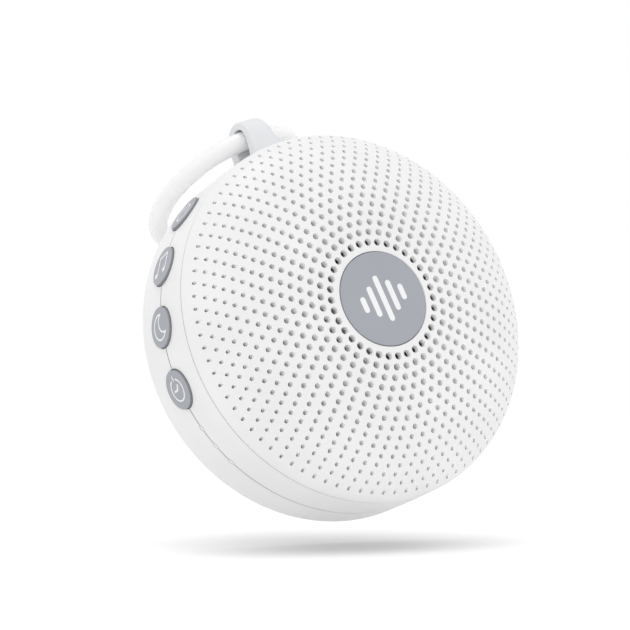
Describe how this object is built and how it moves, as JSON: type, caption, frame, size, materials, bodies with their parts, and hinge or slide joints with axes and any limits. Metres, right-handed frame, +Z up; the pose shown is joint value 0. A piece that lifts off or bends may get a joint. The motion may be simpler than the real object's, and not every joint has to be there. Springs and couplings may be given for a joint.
{
  "type": "white noise sound machine",
  "caption": "Round portable sound machine: perforated domed grille with a flat centre disc, side buttons, status windows, a hanging ring in an eye on the rim, speaker and battery inside.",
  "frame": {"origin": "middle of the hanging eye's passage, on the parting plane of the two housings, where the ring bears", "axes": "+Z up from the disc's centre through the hanging eye; -Y to the front, the way the grille faces; +Y out of the flat back; +X to the right seen from the front"},
  "size_m": [0.0958, 0.067, 0.1047],
  "materials": {
    "white_shell": "fine satin moulded plastic",
    "grey_plastic": "satin moulded plastic",
    "dust_cloth": "fine woven cloth",
    "white_eye": "satin moulded plastic",
    "ring_plastic": "soft glossy, slightly translucent plastic",
    "black_plastic": "moulded plastic",
    "clear_plastic": "diffusing clear plastic",
    "led_body": "small lamp body",
    "board": "green coated laminate",
    "steel": "plated steel",
    "foam": "closed foam",
    "surround_rubber": "soft rubber",
    "cone_paper": "pressed paper",
    "copper": "enamelled copper wire",
    "magnet": "sintered magnet and steel plates",
    "cell_wrap": "foil wrap",
    "foot_rubber": "soft grey rubber"
  },
  "bodies": {
    "machine": {"grille": "white_shell", "badge": "grey_plastic", "grille_cloth": "dust_cloth", "front_housing": "white_shell", "rear_housing": "white_shell", "hanging_eye": "white_eye", "tact_switches": "black_plastic", "light_guides": "clear_plastic", "status_leds": "led_body", "main_board": "board", "board_screws": "steel", "board_chips": "black_plastic", "charge_socket": "steel", "speaker_gasket": "foam", "speaker_basket": "black_plastic", "speaker_screws": "steel", "speaker_surround": "surround_rubber", "speaker_magnet": "magnet", "battery_cell": "cell_wrap", "battery_pad": "foam", "housing_screws": "steel", "foot_pad": "foot_rubber"},
    "ring": {"hanging_ring": "ring_plastic"},
    "cone": {"speaker_cone": "cone_paper", "dust_cap": "cone_paper", "voice_coil": "copper"},
    "power_key": {"power_button": "grey_plastic"},
    "sound_key": {"sound_button": "grey_plastic"},
    "soothe_key": {"soothe_button": "grey_plastic"},
    "timer_key": {"timer_button": "grey_plastic"},
    "volume_up_key": {"volume_up_button": "grey_plastic"},
    "volume_down_key": {"volume_down_button": "grey_plastic"}
  },
  "joints": [
    {"name": "ring_swing", "type": "hinge", "parent": "machine", "child": "ring", "pos_m": [0, 0, 0], "axis": [1, 0, 0], "range_deg": [-10.5, 226]},
    {"name": "cone_travel", "type": "slide", "parent": "machine", "child": "cone", "axis": [0, 1, 0], "range_m": [-0.0008, 0.0008], "stiffness_N_per_m": 1500},
    {"name": "power_press", "type": "slide", "parent": "machine", "child": "power_key", "axis": [0.5592, 0, -0.829], "range_m": [0, 0.0005], "stiffness_N_per_m": 2000, "springref_m": -0.0003},
    {"name": "sound_press", "type": "slide", "parent": "machine", "child": "sound_key", "axis": [0.7986, 0, -0.6018], "range_m": [0, 0.0005], "stiffness_N_per_m": 2000, "springref_m": -0.0003},
    {"name": "soothe_press", "type": "slide", "parent": "machine", "child": "soothe_key", "axis": [0.9511, 0, -0.309], "range_m": [0, 0.0005], "stiffness_N_per_m": 2000, "springref_m": -0.0003},
    {"name": "timer_press", "type": "slide", "parent": "machine", "child": "timer_key", "axis": [0.9998, 0, 0.0175], "range_m": [0, 0.0005], "stiffness_N_per_m": 2000, "springref_m": -0.0003},
    {"name": "volume_up_press", "type": "slide", "parent": "machine", "child": "volume_up_key", "axis": [-0.5592, 0, -0.829], "range_m": [0, 0.0005], "stiffness_N_per_m": 2000, "springref_m": -0.0003},
    {"name": "volume_down_press", "type": "slide", "parent": "machine", "child": "volume_down_key", "axis": [-0.7986, 0, -0.6018], "range_m": [0, 0.0005], "stiffness_N_per_m": 2000, "springref_m": -0.0003}
  ]
}
